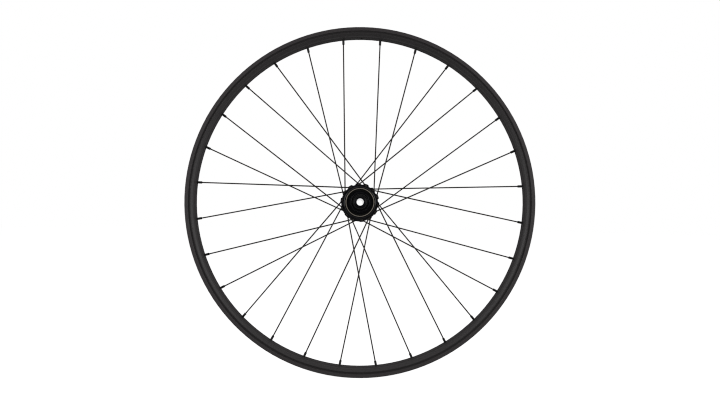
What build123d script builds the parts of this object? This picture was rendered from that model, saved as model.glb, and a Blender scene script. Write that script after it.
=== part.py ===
"""Rear bicycle wheel for a 622 mm tyre: rim, laced spokes, and a ratchet hub on a 12 mm through bore.

Millimetres. The origin is the wheel's centre, the axle lies along Y with the drive side towards -Y, and
the valve hole points up, along +Z. A clock angle runs clockwise from +Z as seen from the drive side,
which is a right-handed turn about +Y.
"""

from build123d import *
from math import asin, cos, degrees, pi, radians, sin
import os

# Rim
bead_seat_d = 622.0
bead_flange_height = 6.0
bead_flange_wall = 1.9
bead_hook = 0.5
bead_hook_share = 0.55
bead_edge_round = 0.75
rim_inner_width = 29.0
rim_depth = 16.5
rim_wall = 1.1
shoulder_wall = 1.6
haunch_wall = 1.3
haunch_wall_in = 0.75
hollow_slant = 0.4
spoke_bed_wall = 1.7
spoke_bed_flat = 13.0
tyre_well_depth = 3.5
tyre_well_width = 12.0
bead_shelf_width = 5.6
side_groove_depth = 1.5
side_groove_width = 2.0
side_groove_drop = 1.1
groove_round = 0.5
shoulder_inset = 0.6
shoulder_round = 1.2
haunch_height_share = 0.35
haunch_swell = 0.6
haunch_round = 4.0
well_round = 1.0
valve_hole_d = 6.5

# Spokes and nipples
spoke_count = 28
crossings = 2
spoke_d = 2.34
spoke_thread_d = 2.55
spoke_head_d = 4.0
spoke_head_height = 1.4
spoke_head_rim = 0.6
elbow_radius = 3.0
elbow_straight = 0.1
thread_length = 10.0
weave_radius = 40.0
weave_gap = 0.1
nipple_length = 14.0
nipple_d = 4.3
nipple_flats = 3.5
nipple_flats_length = 7.0
nipple_head_d = 6.2
nipple_head_height = 2.6
nipple_crown = 0.8
nipple_top_d = 4.2
nipple_seat_lift = 0.35
spoke_tip_recess = 0.6
spoke_in_nipple_gap = 0.05
nipple_in_rim_gap = 0.3
nipple_access_gap = 1.4

# Hub shell
hub_width = 148.0
flange_pcd = 63.0
flange_lobe_rim = 3.5
flange_lobe_round = 1.0
flange_scallop_r = 4.3
flange_scallop_depth = 2.7
flange_thickness = 3.2
flange_edge_round = 0.4
flange_land = 1.6
flange_land_slope = 0.8
flange_land_round = 0.5
head_to_land_gap = 0.3
drive_flange_y = -21.5
disc_flange_y = 34.5
spoke_hole_gap = 0.2
waist_d = 32.0
drive_taper_length = 14.0
drive_taper_round = 20.0
disc_taper_length = 14.0
disc_taper_round = 12.0
neck_round = 1.5
drum_d = 48.6
drum_depth = 11.5
drum_shoulder_wall = 2.4
drum_shoulder_length = 2.0
drum_shoulder_round = 4.0
disc_seat_to_end = 18.8
disc_bolt_pcd = 44.0
disc_bolt_count = 6
disc_tap_d = 4.2
disc_tap_depth = 8.0
disc_boss_rim = 3.0
disc_boss_depth = 9.0
disc_boss_bevel = 1.5
disc_boss_round = 1.0
disc_spigot_d = 34.9
disc_spigot_height = 2.7
disc_scallop_depth = 4.4
flange_to_bearing = 0.8
bearing_end_recess = 1.4

# Axle, caps and bearings
through_bore_d = 12.1
axle_d = 15.0
axle_bore_gap = 0.02
axle_shoulder = 1.2
cap_face_d = 18.0
cap_barrel_d = 22.4
cap_cover = 8.0
cap_nose = 3.2
cap_chamfer = 0.4
cap_foot = 1.5
press_gap = 0.02
hub_bearing_d = 28.0
hub_bearing_width = 7.0
hub_ball_d = 3.969
hub_ball_count = 11
cassette_bearing_d = 24.0
cassette_bearing_width = 5.0
cassette_ball_d = 2.381
cassette_ball_count = 17
ball_gap = 0.03
cage_gap = 0.12
cage_spare = 0.15
race_shoulder_share = 0.42
bearing_seal_thickness = 0.6
bearing_seal_gap = 0.08

# Cassette body and ratchet
drive_cap_proud = 5.5
spline_length = 34.9
spline_count = 9
spline_top_d = 34.6
spline_root_d = 32.2
spline_ridge_angle = 20.0
spline_key_angle = 13.0
spline_phase = 15.6
ridge_root_share = 0.9
lockring_bore_d = 28.6
lockring_bore_depth = 10.0
base_lip_d = 40.4
base_lip_thickness = 2.4
ratchet_bearing_recess = 0.5
ratchet_tooth_count = 36
ratchet_tooth_height = 1.0
ratchet_tooth_gap = 0.05
ratchet_tooth_root = 0.2
ratchet_face_width = 3.6
ratchet_ring_thickness = 4.5
ratchet_slide_travel = 1.2
ratchet_guide_gap = 0.1
ratchet_lug_count = 10
ratchet_lug_height = 1.3
ratchet_lug_angle = 14.0
ratchet_wall = 1.5
ratchet_lug_setback = 0.5
socket_setback = 2.0
spline_chamfer = 0.8
spring_wire_d = 1.1
spring_turns = 2.5
spring_spare = 0.45
drum_ring_face = 2.0
drum_ring_wall = 1.2
drum_ring_skirt = 2.5
drum_ring_mouth_gap = 0.8
drum_ring_round = 0.5
drum_wall = 1.4
drum_thread_gap = 0.02
drum_seal_length = 3.2
drum_seal_bevel = 0.4
seal_running_gap = 0.3

# Rim levels
bead_r = bead_seat_d / 2
rim_edge_r = bead_r + bead_flange_height
spoke_bed_r = rim_edge_r - rim_depth
nipple_seat_r = spoke_bed_r + spoke_bed_wall
tyre_well_r = bead_r - tyre_well_depth
rim_inner_half = rim_inner_width / 2
rim_outer_half = rim_inner_half + bead_flange_wall

# Places along the axle
half_width = hub_width / 2
cassette_end_y = -half_width + drive_cap_proud
base_lip_y = cassette_end_y + spline_length
disc_seat_y = half_width - disc_seat_to_end
disc_shell_end_y = disc_seat_y + disc_spigot_height
disc_bearing_y1 = disc_shell_end_y - bearing_end_recess
disc_bearing_y0 = disc_bearing_y1 - hub_bearing_width
drum_end_y = drive_flange_y - drum_depth
drive_bearing_y0 = drive_flange_y + flange_thickness + flange_to_bearing
drive_bearing_y1 = drive_bearing_y0 + hub_bearing_width
hub_ratchet_root_y = drive_bearing_y0 - ratchet_ring_thickness
hub_ratchet_tip_y = hub_ratchet_root_y - ratchet_tooth_height
slider_back_y = hub_ratchet_tip_y - ratchet_tooth_gap - ratchet_ring_thickness
spring_length = (spring_turns + 1) * spring_wire_d + ratchet_slide_travel + spring_spare
spring_floor_y = slider_back_y - spring_length
inner_bearing_y1 = spring_floor_y - ratchet_bearing_recess
inner_bearing_y0 = inner_bearing_y1 - cassette_bearing_width
outer_bearing_y0 = cassette_end_y + lockring_bore_depth
outer_bearing_y1 = outer_bearing_y0 + cassette_bearing_width
socket_mouth_y = hub_ratchet_tip_y - socket_setback

# Radii about the axle
axle_r = axle_d / 2
bore_r = through_bore_d / 2
hub_seat_r = hub_bearing_d / 2 + press_gap
cassette_seat_r = cassette_bearing_d / 2 + press_gap
spoke_hole_r = flange_pcd / 2
flange_r = spoke_hole_r + flange_lobe_rim
land_foot_r = spoke_hole_r - spoke_head_d / 2 - head_to_land_gap
drum_r = drum_d / 2
drum_mouth_r = drum_r - drum_wall
tooth_outer_r = hub_seat_r + ratchet_wall
tooth_inner_r = tooth_outer_r - ratchet_face_width
lug_r = tooth_outer_r + ratchet_lug_height
socket_groove_r = lug_r + ratchet_guide_gap
socket_barrel_r = socket_groove_r + ratchet_wall
drum_thread_r = socket_barrel_r + seal_running_gap


def turned(outline, radii=None):
    """Solid turned about the axle from a closed outline of (radius, y) corners, each with its rounding."""
    if radii is None:
        return revolve(make_face(Polyline(*outline, close=True)), Axis.Y)
    return revolve(make_face(FilletPolyline(*outline, radius=radii, close=True)), Axis.Y)


def tube(inner_r, outer_r, y0, y1):
    """Plain tube about the axle."""
    return turned([(inner_r, y0), (outer_r, y0), (outer_r, y1), (inner_r, y1)])


def at_clock(shape, angle):
    """The shape turned about the axle by a clock angle."""
    return Rot(0, angle, 0) * shape


def clock_point(radius, angle, y):
    """Point at a radius and clock angle."""
    return Vector(radius * sin(radians(angle)), y, radius * cos(radians(angle)))


def along_axle(radius, y0, y1, at_radius, angle):
    """Cylinder parallel to the axle, from y0 to y1."""
    base = Plane(clock_point(at_radius, angle, y0), x_dir=(1, 0, 0), z_dir=(0, 1, 0))
    return extrude(base * Circle(radius), y1 - y0)


# Lacing

rim_pitch = 360 / spoke_count
hub_lead = crossings * 2 * rim_pitch
DRIVE = -1
DISC = 1
flange_y = {DRIVE: drive_flange_y, DISC: disc_flange_y}


def spoke_corners(side, lead):
    """Head, elbow, weave and seat points of a spoke whose nipple is at the top.

    A spoke with lead +1 pulls the rim: its head is on the flange's outer face. One with lead -1 has its
    head inside and its elbow outside. At the last crossing the outer spoke dives under the inner one.
    """
    plane_y = flange_y[side]
    head_y = plane_y + lead * side * flange_thickness / 2
    elbow_y = plane_y - lead * side * (flange_thickness / 2 + elbow_radius)
    head = clock_point(spoke_hole_r, lead * hub_lead, head_y)
    elbow = clock_point(spoke_hole_r, lead * hub_lead, elbow_y)
    seat = Vector(0, 0, nipple_seat_r)
    reach = nipple_seat_r * sin(radians(rim_pitch)) + spoke_hole_r * sin(radians(hub_lead - rim_pitch))
    weave_r = nipple_seat_r * spoke_hole_r * sin(radians(hub_lead)) / reach
    weave = clock_point(weave_r, lead * rim_pitch, 0)
    share = Vector(weave.X - elbow.X, 0, weave.Z - elbow.Z).length
    share = share / Vector(seat.X - elbow.X, 0, seat.Z - elbow.Z).length
    side_step = lead * side * (spoke_d + weave_gap) / 2
    weave = weave + Vector(0, plane_y * (1 - share) + side_step, 0)
    return head, elbow, weave, seat


def make_spoke(side, lead):
    """Spoke: mushroom head, bent elbow, plain wire woven at the last crossing, rolled thread."""
    head, elbow, weave, seat = spoke_corners(side, lead)
    head_way = (head - elbow).normalized()
    end_way = (seat - weave).normalized()
    tip = seat + end_way * (nipple_seat_lift + nipple_head_height - spoke_tip_recess)
    bends = [elbow_radius - elbow_straight, weave_radius]
    wire_path = FilletPolyline(head, elbow, weave, tip, radius=bends)
    wire = sweep(Plane(head, z_dir=head_way) * Circle(spoke_d / 2), wire_path)
    thread = tip - end_way * thread_length
    threaded = extrude(Plane(thread, z_dir=end_way) * Circle(spoke_thread_d / 2), thread_length)
    cap_outline = [
        (0, -flange_thickness / 4),
        (spoke_d / 2, -flange_thickness / 4),
        (spoke_d / 2, 0),
        (spoke_head_d / 2, 0),
        (spoke_head_d / 2, spoke_head_rim),
        (spoke_head_d / 4, spoke_head_height),
        (0, spoke_head_height),
    ]
    head_face = make_face(Polyline(*[(r, 0, z) for r, z in cap_outline], close=True))
    head_solid = Plane(head, z_dir=head_way) * revolve(head_face, Axis.Z)
    return wire + threaded + head_solid


def nipple_plane(side, lead):
    """Plane on the nipple's seat, its z along the spoke and out of the wheel."""
    _, _, weave, seat = spoke_corners(side, lead)
    return Plane(seat, x_dir=(0, 1, 0), z_dir=seat - weave)


def make_nipple(side, lead):
    """Nipple: square drive, round shank, coned head in the rim, bored for the spoke."""
    shank = nipple_length - nipple_head_height
    cone = (nipple_head_d - nipple_d) / 2
    lift = nipple_seat_lift
    outline = [
        (0, lift - shank),
        (nipple_d / 2, lift - shank),
        (nipple_d / 2, lift),
        (nipple_head_d / 2, lift + cone),
        (nipple_head_d / 2, lift + nipple_head_height - nipple_crown),
        (nipple_top_d / 2, lift + nipple_head_height),
        (0, lift + nipple_head_height),
    ]
    body = revolve(make_face(Polyline(*[(r, 0, z) for r, z in outline], close=True)), Axis.Z)
    flats_z = lift - shank
    thread_r = spoke_thread_d / 2 + spoke_in_nipple_gap
    stock = Pos(0, 0, flats_z) * extrude(Circle(nipple_d), nipple_flats_length)
    square = Pos(0, 0, flats_z) * extrude(Rectangle(nipple_flats, nipple_flats), nipple_flats_length)
    body = body - (stock - square)
    bore = Pos(0, 0, flats_z) * extrude(Circle(thread_r), nipple_length)
    return nipple_plane(side, lead) * (body - bore)


def spoke_kind(index):
    """Side and lead of the spoke at a place counted clockwise from the valve hole."""
    side = DISC if index % 2 == 0 else DRIVE
    lead = 1 if index % 4 < 2 else -1
    return side, lead


def spoke_clock(index):
    """Clock angle of a spoke's nipple: the valve hole lies midway between the first and the last."""
    return (index + 0.5) * rim_pitch


def hole_turn(side):
    """Clock angle, in radians, of a flange's first spoke hole."""
    first = 0 if side == DISC else 1
    return radians(spoke_clock(first) + spoke_kind(first)[1] * hub_lead)


# Rim


def make_rim():
    """Hollow rim: hooked bead flanges, tyre well, grooved sides and rounded spoke bed, all drilled."""
    groove_half = rim_outer_half - side_groove_depth
    groove_top = bead_r - side_groove_drop
    groove_foot = groove_top - side_groove_width
    shoulder_r = groove_foot - side_groove_depth
    shoulder_half = rim_outer_half - shoulder_inset
    haunch_r = spoke_bed_r + (shoulder_r - spoke_bed_r) * haunch_height_share
    haunch_half = (shoulder_half + spoke_bed_flat / 2) / 2 + haunch_swell
    outer = [
        (rim_edge_r, rim_outer_half, bead_edge_round),
        (bead_r, rim_outer_half, groove_round),
        (groove_top, groove_half, groove_round),
        (groove_foot, groove_half, groove_round),
        (shoulder_r, shoulder_half, shoulder_round),
        (haunch_r, haunch_half, haunch_round),
        (spoke_bed_r, spoke_bed_flat / 2, haunch_round),
    ]
    well_half = tyre_well_width / 2
    shelf_half = rim_inner_half - bead_shelf_width
    hook_r = bead_r + bead_flange_height * bead_hook_share
    tyre_side = [
        (tyre_well_r, well_half, well_round),
        (bead_r, shelf_half, well_round),
        (bead_r, rim_inner_half, groove_round),
        (hook_r, rim_inner_half, 0),
        (hook_r + bead_hook * 2, rim_inner_half - bead_hook, 0),
        (rim_edge_r, rim_inner_half - bead_hook, bead_edge_round),
    ]
    half = tyre_side + outer
    corners = half + [(r, -y, turn) for r, y, turn in reversed(half)]
    skin = turned([(r, y) for r, y, _ in corners], [turn for _, _, turn in corners])
    under_r = bead_r - rim_wall
    core = [
        (nipple_seat_r, spoke_bed_flat / 2 - hollow_slant),
        (haunch_r + haunch_wall, haunch_half - haunch_wall_in),
        (shoulder_r, shoulder_half - shoulder_wall),
        (groove_foot, groove_half - rim_wall),
        (under_r, groove_half - rim_wall),
        (under_r, shelf_half + hollow_slant),
        (tyre_well_r - rim_wall, well_half + hollow_slant),
    ]
    hollow = core + [(r, -y) for r, y in reversed(core)]
    rim = skin - turned(hollow)
    bed_cut = nipple_d / 2 + nipple_in_rim_gap
    well_cut = nipple_head_d / 2 + nipple_access_gap
    seat_to_well = tyre_well_r - rim_wall - nipple_seat_r
    cutters = []
    for index in range(spoke_count):
        side, lead = spoke_kind(index)
        plane = nipple_plane(side, lead)
        bed_hole = Pos(0, 0, -2 * spoke_bed_wall) * extrude(Circle(bed_cut), 3 * spoke_bed_wall)
        well_hole = Pos(0, 0, seat_to_well / 2) * extrude(Circle(well_cut), seat_to_well / 2 + 3 * rim_wall)
        for hole in (bed_hole, well_hole):
            cutters.append(at_clock(plane * hole, spoke_clock(index)))
    valve_base = Plane((0, 0, spoke_bed_r - rim_wall), z_dir=(0, 0, 1))
    cutters.append(extrude(valve_base * Circle(valve_hole_d / 2), rim_depth))
    return rim - cutters


# Hub shell


def flange_land_corners(side):
    """Outline of a flange inside its spoke holes: a plate with a raised land on its outer face."""
    outer_y = flange_y[side] + side * flange_thickness / 2
    inner_y = flange_y[side] - side * flange_thickness / 2
    land_y = outer_y + side * flange_land
    corners = [
        (land_foot_r - flange_land_slope, land_y, flange_land_round),
        (land_foot_r, outer_y, 0),
        (land_foot_r, inner_y, 0),
    ]
    return corners if side == DRIVE else corners[::-1]


def make_flange_lobes(side):
    """Ring of a flange with a rounded lobe at each spoke hole and a scallop between each two."""
    hole_count = spoke_count // 2
    scallop_at = flange_r - flange_scallop_depth + flange_scallop_r
    ring = Circle(flange_r)
    for index in range(hole_count):
        turn = hole_turn(side) + radians((index + 0.5) * 360 / hole_count)
        ring -= Pos(scallop_at * sin(turn), -scallop_at * cos(turn)) * Circle(flange_scallop_r)
    ring = fillet(ring.vertices(), flange_lobe_round)
    base_y = flange_y[side] - flange_thickness / 2
    base = Plane((0, base_y, 0), x_dir=(1, 0, 0), z_dir=(0, 1, 0))
    lobes = extrude(base * ring, flange_thickness)
    lobes = fillet(lobes.edges().filter_by(GeomType.CIRCLE), flange_edge_round)
    core = extrude(base * Circle(land_foot_r - flange_land_slope), flange_thickness)
    return lobes - core


def make_hub_shell():
    """Shell turned with ratchet drum and disc boss, with two lobed flanges, then drilled and scalloped."""
    half = flange_thickness / 2
    land = half + flange_land
    boss_r = disc_bolt_pcd / 2 + disc_tap_d / 2 + disc_boss_rim
    boss_y = disc_seat_y - disc_boss_depth
    waist_r = waist_d / 2
    shoulder_r = drum_thread_r + drum_shoulder_wall
    neck_r = disc_spigot_d / 2 + ratchet_wall
    bed_r = hub_seat_r - ratchet_wall
    seal_y = drum_end_y + drum_seal_length
    corners = [
        (drum_r, drum_end_y, 0),
        (drum_r, drive_flange_y - land, 0),
        *flange_land_corners(DRIVE),
        (shoulder_r, drive_flange_y + half, neck_round),
        (shoulder_r, drive_bearing_y0 + drum_shoulder_length, drum_shoulder_round),
        (waist_r, drive_bearing_y1 + drive_taper_length, drive_taper_round),
        (waist_r, disc_flange_y - disc_taper_length, disc_taper_round),
        (neck_r, disc_flange_y - half, neck_round),
        *flange_land_corners(DISC),
        (neck_r, disc_flange_y + land, neck_round),
        (neck_r, boss_y, neck_round),
        (boss_r, boss_y + disc_boss_bevel, disc_boss_round),
        (boss_r, disc_seat_y, 0),
        (disc_spigot_d / 2, disc_seat_y, 0),
        (disc_spigot_d / 2, disc_shell_end_y, 0),
        (hub_seat_r, disc_shell_end_y, 0),
        (hub_seat_r, disc_bearing_y0, 0),
        (bed_r, disc_bearing_y0, 0),
        (bed_r, drive_bearing_y1, 0),
        (hub_seat_r, drive_bearing_y1, 0),
        (hub_seat_r, drive_bearing_y0, 0),
        (drum_thread_r, drive_bearing_y0, 0),
        (drum_thread_r, seal_y, 0),
        (drum_mouth_r, seal_y, 0),
        (drum_mouth_r, drum_end_y, 0),
    ]
    shell = turned([(r, y) for r, y, _ in corners], [turn for _, _, turn in corners])
    shell = shell + [make_flange_lobes(DRIVE), make_flange_lobes(DISC)]
    cutters = []
    spoke_cut = spoke_d / 2 + spoke_hole_gap
    for index in range(spoke_count):
        side, lead = spoke_kind(index)
        angle = spoke_clock(index) + lead * hub_lead
        plane_y = flange_y[side]
        y0 = plane_y - flange_thickness
        y1 = plane_y + flange_thickness
        cutters.append(along_axle(spoke_cut, y0, y1, spoke_hole_r, angle))
    for index in range(disc_bolt_count):
        angle = index * 360 / disc_bolt_count
        tap_y = disc_seat_y - disc_tap_depth
        cutters.append(along_axle(disc_tap_d / 2, tap_y, disc_seat_y + 1, disc_bolt_pcd / 2, angle))
        scallop_r = boss_r * sin(pi / disc_bolt_count) - disc_tap_d / 2 - disc_boss_rim
        scallop_at = boss_r + scallop_r - disc_scallop_depth
        between = angle + 180 / disc_bolt_count
        cutters.append(along_axle(scallop_r, boss_y - 1, disc_seat_y + 1, scallop_at, between))
    return shell - cutters


def make_drum_ring():
    """Bare metal ring, L-shaped in section, pressed over the mouth of the drum."""
    outer_r = drum_r + drum_ring_wall
    inner_r = drum_mouth_r + drum_ring_mouth_gap
    face_y = drum_end_y - drum_ring_face
    corners = [
        (inner_r, face_y, drum_ring_round),
        (outer_r, face_y, drum_ring_round),
        (outer_r, drum_end_y + drum_ring_skirt, 0),
        (drum_r + press_gap, drum_end_y + drum_ring_skirt, 0),
        (drum_r + press_gap, drum_end_y, 0),
        (inner_r, drum_end_y, 0),
    ]
    return turned([(r, y) for r, y, _ in corners], [turn for _, _, turn in corners])


def make_drum_seal():
    """Rubber lip seal in the mouth of the drum, just clear of the cassette body."""
    lip_r = base_lip_d / 2 + seal_running_gap
    outer_r = drum_mouth_r - press_gap
    back_y = drum_end_y + drum_seal_length
    return turned(
        [
            (lip_r, drum_end_y),
            (outer_r, drum_end_y + drum_seal_bevel),
            (outer_r, back_y),
            (lip_r, back_y),
        ]
    )


# Bearings


def bearing(inner_d, outer_d, width, y0, ball_d, ball_count):
    """Grooved inner and outer rings, balls in a cage, and two seals, from y0 along the axle."""
    inner_r = inner_d / 2
    outer_r = outer_d / 2
    pitch_r = (inner_r + outer_r) / 2
    ball_r = ball_d / 2
    middle = y0 + width / 2
    land = ball_r * race_shoulder_share
    groove = Rot(90, 0, 0) * Torus(pitch_r, ball_r + ball_gap)
    groove = Pos(0, middle, 0) * groove
    inner_ring = tube(inner_r, pitch_r - land, y0, y0 + width) - groove
    outer_ring = tube(pitch_r + land, outer_r, y0, y0 + width) - groove
    ball_at = Pos(0, middle, pitch_r) * Sphere(ball_r)
    balls = [at_clock(ball_at, index * 360 / ball_count) for index in range(ball_count)]
    seal_room = bearing_seal_thickness + bearing_seal_gap
    cage_half = (width / 2 - seal_room + ball_r) / 2 + cage_spare
    cage_wall = land - cage_gap
    cage = tube(pitch_r - cage_wall, pitch_r + cage_wall, middle - cage_half, middle + cage_half)
    pocket = Pos(0, middle, pitch_r) * Sphere(ball_r + cage_gap)
    cage = cage - [at_clock(pocket, index * 360 / ball_count) for index in range(ball_count)]
    seal_in = pitch_r - land + bearing_seal_gap
    seal_out = pitch_r + land - press_gap
    near_seal = tube(seal_in, seal_out, y0, y0 + bearing_seal_thickness)
    far_seal = tube(seal_in, seal_out, y0 + width - bearing_seal_thickness, y0 + width)
    return {
        "inner_ring": inner_ring,
        "outer_ring": outer_ring,
        "balls": Compound(children=balls + [cage]),
        "seals": Compound(children=[near_seal, far_seal]),
    }


# Axle


def make_axle():
    """Axle tube with a thicker middle that the two hub bearings stop against."""
    inner_r = bore_r + axle_bore_gap
    outer_r = axle_r - press_gap
    thick_r = axle_r + axle_shoulder
    drive_y = outer_bearing_y0 - cap_cover
    disc_y = disc_bearing_y1 + cap_cover
    return turned(
        [
            (inner_r, drive_y),
            (outer_r, drive_y),
            (outer_r, drive_bearing_y1),
            (thick_r, drive_bearing_y1),
            (thick_r, disc_bearing_y0),
            (outer_r, disc_bearing_y0),
            (outer_r, disc_y),
            (inner_r, disc_y),
        ]
    )


def make_end_cap(bearing_face_y, side):
    """Cap pushed over the axle's end: stepped nose with a coned shoulder, resting on the bearing."""
    end_y = side * half_width
    face_r = cap_face_d / 2
    barrel_r = cap_barrel_d / 2
    socket_y = bearing_face_y + side * cap_cover
    shoulder = barrel_r - face_r
    seat_r = axle_r + axle_shoulder
    return turned(
        [
            (bore_r + cap_chamfer, end_y),
            (face_r - cap_chamfer, end_y),
            (face_r, end_y - side * cap_chamfer),
            (face_r, end_y - side * cap_nose),
            (barrel_r, end_y - side * (cap_nose + shoulder)),
            (barrel_r, bearing_face_y + side * cap_foot),
            (seat_r, bearing_face_y + side * cap_foot),
            (seat_r, bearing_face_y),
            (axle_r, bearing_face_y),
            (axle_r, socket_y),
            (bore_r, socket_y),
            (bore_r, end_y - side * cap_chamfer),
        ]
    )


# Cassette body and ratchet


def ridge(inner_r, outer_r, width_angle, middle_angle, y0, y1):
    """Spline ridge: a block between two radii with sides along the radius at its middle."""
    half = inner_r * sin(radians(width_angle / 2))
    base = Plane((0, y0, 0), x_dir=(1, 0, 0), z_dir=(0, 1, 0))
    block = extrude(base * Circle(outer_r), y1 - y0)
    slab = Pos(0, (y0 + y1) / 2, outer_r / 2) * Box(2 * half, y1 - y0, outer_r)
    core = extrude(base * Circle(inner_r * ridge_root_share), y1 - y0)
    return at_clock((block & slab) - core, middle_angle)


def make_cassette_body():
    """Cassette body: nine ridges, one narrower, base lip, lockring bore, bearing seats, socket."""
    root_r = spline_root_d / 2
    top_r = spline_top_d / 2
    lip_r = base_lip_d / 2
    lip_end = base_lip_y + base_lip_thickness
    between_r = cassette_seat_r - ratchet_wall
    socket_r = tooth_outer_r + ratchet_guide_gap
    body = turned(
        [
            (lockring_bore_d / 2, cassette_end_y),
            (root_r - spline_chamfer, cassette_end_y),
            (root_r, cassette_end_y + spline_chamfer),
            (root_r, base_lip_y),
            (lip_r, base_lip_y),
            (lip_r, lip_end),
            (socket_barrel_r, lip_end),
            (socket_barrel_r, socket_mouth_y),
            (socket_r, socket_mouth_y),
            (socket_r, spring_floor_y),
            (cassette_seat_r, spring_floor_y),
            (cassette_seat_r, inner_bearing_y0),
            (between_r, inner_bearing_y0),
            (between_r, outer_bearing_y1),
            (cassette_seat_r, outer_bearing_y1),
            (cassette_seat_r, outer_bearing_y0),
            (lockring_bore_d / 2, outer_bearing_y0),
        ]
    )
    ridges = []
    for index in range(spline_count):
        width = spline_key_angle if index == 0 else spline_ridge_angle
        angle = spline_phase + index * 360 / spline_count
        ridges.append(ridge(root_r, top_r, width, angle, cassette_end_y + spline_chamfer, base_lip_y))
    grooves = []
    for index in range(ratchet_lug_count):
        angle = index * 360 / ratchet_lug_count
        width = ratchet_lug_angle + degrees(asin(2 * ratchet_guide_gap / socket_r))
        grooves.append(ridge(socket_r, socket_groove_r, width, angle, spring_floor_y, socket_mouth_y))
    return body + ridges - grooves


def tooth_wedge(root_y, tip_y, turn, gap):
    """One saw tooth with faces along the axle's radii: a steep flank at the left end of its ramp."""
    pitch = 360 / ratchet_tooth_count
    slack = degrees(gap / tooth_outer_r)
    overlap = ratchet_tooth_root * (1 if root_y > tip_y else -1)
    steep = -pitch / 2 + slack if turn > 0 else pitch / 2 - slack
    ramp = pitch / 2 - slack if turn > 0 else -pitch / 2 + slack
    sections = []
    for radius in (tooth_inner_r, tooth_outer_r):
        corners = [
            clock_point(radius, steep, tip_y),
            clock_point(radius, steep, root_y + overlap),
            clock_point(radius, ramp, root_y + overlap),
            clock_point(radius, ramp, root_y),
        ]
        sections.append(make_face(Polyline(*corners, close=True)))
    return loft(sections)


def make_hub_ratchet():
    """Toothed ring screwed into the drum, its teeth facing the cassette body."""
    ring = tube(tooth_inner_r, drum_thread_r - drum_thread_gap, hub_ratchet_root_y, drive_bearing_y0)
    tooth = tooth_wedge(hub_ratchet_root_y, hub_ratchet_tip_y, 1, ratchet_tooth_gap)
    pitch = 360 / ratchet_tooth_count
    return ring + [at_clock(tooth, index * pitch) for index in range(ratchet_tooth_count)]


def make_cassette_ratchet():
    """Sliding toothed ring, keyed in the cassette body by its lugs, in mesh with the hub's ring."""
    front_y = slider_back_y + ratchet_ring_thickness
    ring = tube(tooth_inner_r, tooth_outer_r, slider_back_y, front_y)
    lug_end_y = socket_mouth_y - ratchet_lug_setback
    lugs = []
    for index in range(ratchet_lug_count):
        angle = index * 360 / ratchet_lug_count
        lugs.append(ridge(tooth_outer_r, lug_r, ratchet_lug_angle, angle, slider_back_y, lug_end_y))
    tooth = tooth_wedge(front_y, front_y + ratchet_tooth_height, -1, ratchet_tooth_gap)
    pitch = 360 / ratchet_tooth_count
    teeth = [at_clock(tooth, (index - 1) * pitch) for index in range(ratchet_tooth_count)]
    return ring + lugs + teeth


def make_ratchet_spring():
    """Open coil spring between the sliding ring and the floor of the socket."""
    wire_r = spring_wire_d / 2
    coil_r = (tooth_inner_r + tooth_outer_r) / 2
    height = spring_length - spring_wire_d
    coil = Helix(height / spring_turns, height, coil_r)
    start = Plane(coil @ 0, z_dir=coil % 0)
    wire = sweep(start * Circle(wire_r), coil, is_frenet=True)
    return Pos(0, spring_floor_y + wire_r, 0) * Rot(-90, 0, 0) * wire


# Assembly

parts = {
    "rim": make_rim(),
    "hub_shell": make_hub_shell(),
    "drum_ring": make_drum_ring(),
    "drum_seal": make_drum_seal(),
    "axle": make_axle(),
    "drive_end_cap": make_end_cap(outer_bearing_y0, DRIVE),
    "disc_end_cap": make_end_cap(disc_bearing_y1, DISC),
    "cassette_body": make_cassette_body(),
    "hub_ratchet": make_hub_ratchet(),
    "cassette_ratchet": make_cassette_ratchet(),
    "ratchet_spring": make_ratchet_spring(),
}

spacer_in = axle_r
spacer_out = axle_r + axle_shoulder
parts["ratchet_spacer"] = tube(spacer_in, spacer_out, inner_bearing_y1, drive_bearing_y0)
parts["cassette_spacer"] = tube(spacer_in, spacer_out, outer_bearing_y1, inner_bearing_y0)

bearing_places = {
    "drive_hub_bearing": (drive_bearing_y0, hub_bearing_d, hub_bearing_width, hub_ball_d, hub_ball_count),
    "disc_hub_bearing": (disc_bearing_y0, hub_bearing_d, hub_bearing_width, hub_ball_d, hub_ball_count),
    "inner_cassette_bearing": (
        inner_bearing_y0,
        cassette_bearing_d,
        cassette_bearing_width,
        cassette_ball_d,
        cassette_ball_count,
    ),
    "outer_cassette_bearing": (
        outer_bearing_y0,
        cassette_bearing_d,
        cassette_bearing_width,
        cassette_ball_d,
        cassette_ball_count,
    ),
}
for place, (y0, outer_d, width, ball_d, ball_count) in bearing_places.items():
    for piece, solid in bearing(axle_d, outer_d, width, y0, ball_d, ball_count).items():
        parts[place + "_" + piece] = solid

kinds = [(side, lead) for side in (DISC, DRIVE) for lead in (1, -1)]
spokes = {kind: make_spoke(*kind) for kind in kinds}
nipples = {kind: make_nipple(*kind) for kind in kinds}
all_nipples = []
for index in range(spoke_count):
    kind = spoke_kind(index)
    angle = spoke_clock(index)
    parts[f"spoke_{index + 1:02d}"] = at_clock(spokes[kind], angle)
    all_nipples.append(at_clock(nipples[kind], angle))
parts["spoke_nipples"] = Compound(children=all_nipples)

os.makedirs("parts", exist_ok=True)
for name, shape in parts.items():
    export_step(shape, f"parts/{name}.step")
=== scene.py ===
"""Dresses a rear bicycle wheel: fine pieces in place of plain solids, a finish for every part, and a studio.

The fine pieces are spokes, nipples, caps, flange beads, cassette body, lockring thread and ratchet spring.
Metres. The wheel's centre is the origin, the axle lies along Y with the drive side towards -Y, and the valve
hole points up, along +Z. A clock angle runs clockwise from +Z as seen from the drive side.
"""

from math import cos, pi, radians, sin, tan

import bpy
import numpy as np
from bpy.props import FloatProperty, FloatVectorProperty, IntProperty, PointerProperty
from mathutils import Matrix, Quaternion, Vector


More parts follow.
